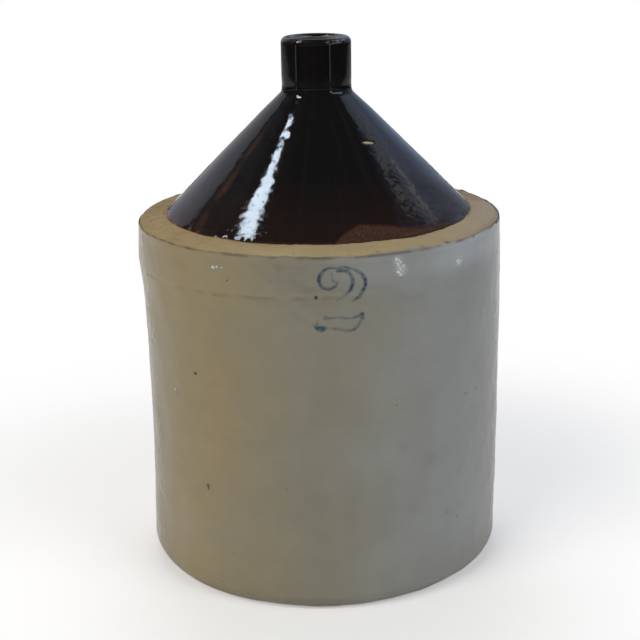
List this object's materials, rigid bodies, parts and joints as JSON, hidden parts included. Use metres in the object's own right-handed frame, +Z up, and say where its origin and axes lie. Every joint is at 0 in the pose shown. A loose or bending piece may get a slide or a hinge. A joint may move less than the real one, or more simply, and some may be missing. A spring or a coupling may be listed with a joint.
{
  "type": "stoneware shoulder jug",
  "caption": "Glazed stoneware storage jug: straight cylindrical pot, flat ledge, steep conical shoulder, short plain neck and a strap handle behind it.",
  "frame": {"origin": "centre of the base, on the flat face that the jug stands on", "axes": "+Z up along the jug's axis through the mouth; the numeral faces -Y and the handle is on +Y"},
  "size_m": [0.231, 0.231, 0.3325],
  "materials": {
    "bare_clay": "matte, unglazed buff stoneware",
    "slip_clay": "matte, fine-grained",
    "pale_glaze": "satin gloss, warm grey to cool grey",
    "brown_glaze": "high gloss, near-black brown",
    "liner_glaze": "gloss, dark brown",
    "cobalt_blue": "faded cobalt colour melted into the glaze"
  },
  "bodies": {
    "root": {"crock_body": "bare_clay", "shoulder_top": "bare_clay", "luting_ring": "slip_clay", "handle": "brown_glaze", "wall_glaze": "pale_glaze", "top_glaze": "brown_glaze", "liner_glaze": "liner_glaze", "capacity_mark": "cobalt_blue"}
  },
  "joints": []
}
